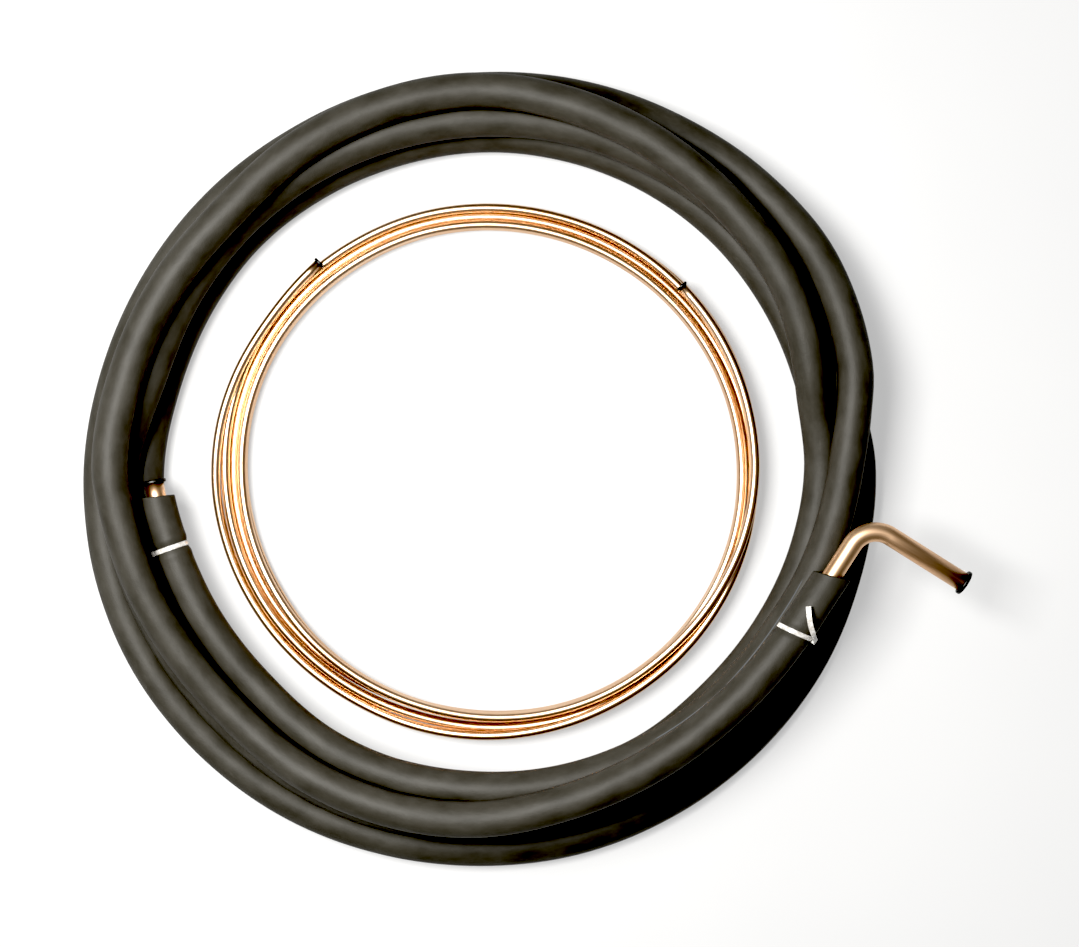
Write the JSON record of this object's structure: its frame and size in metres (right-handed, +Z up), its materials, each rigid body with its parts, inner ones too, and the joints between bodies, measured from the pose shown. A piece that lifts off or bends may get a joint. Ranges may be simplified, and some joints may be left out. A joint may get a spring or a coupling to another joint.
{
  "type": "mini split line set",
  "caption": "Copper refrigerant line set for a mini split air conditioner: an insulated suction line and a smaller bare liquid line, each in its shipping coil, with plugged ends.",
  "frame": {"origin": "the middle of the underside of the whole coiled set, on the floor that it lies on", "axes": "+Z up out of the floor, +X the long way of the set, towards the elbow side, +Y the other way across the coil, as the top of the picture"},
  "size_m": [0.8942, 0.8192, 0.1536],
  "materials": {
    "foam": "matt closed-cell foam",
    "copper": "bright drawn copper",
    "plug": "matt black moulded",
    "tie": "glossy pale nylon"
  },
  "bodies": {
    "root": {"foam_sleeve": "foam", "suction_tube": "copper", "suction_cap_stub": "plug", "suction_cap_elbow": "plug", "liquid_tube": "copper", "liquid_cap_left": "plug", "liquid_cap_right": "plug", "foam_tie_left": "tie", "foam_tie_right": "tie"}
  },
  "joints": []
}
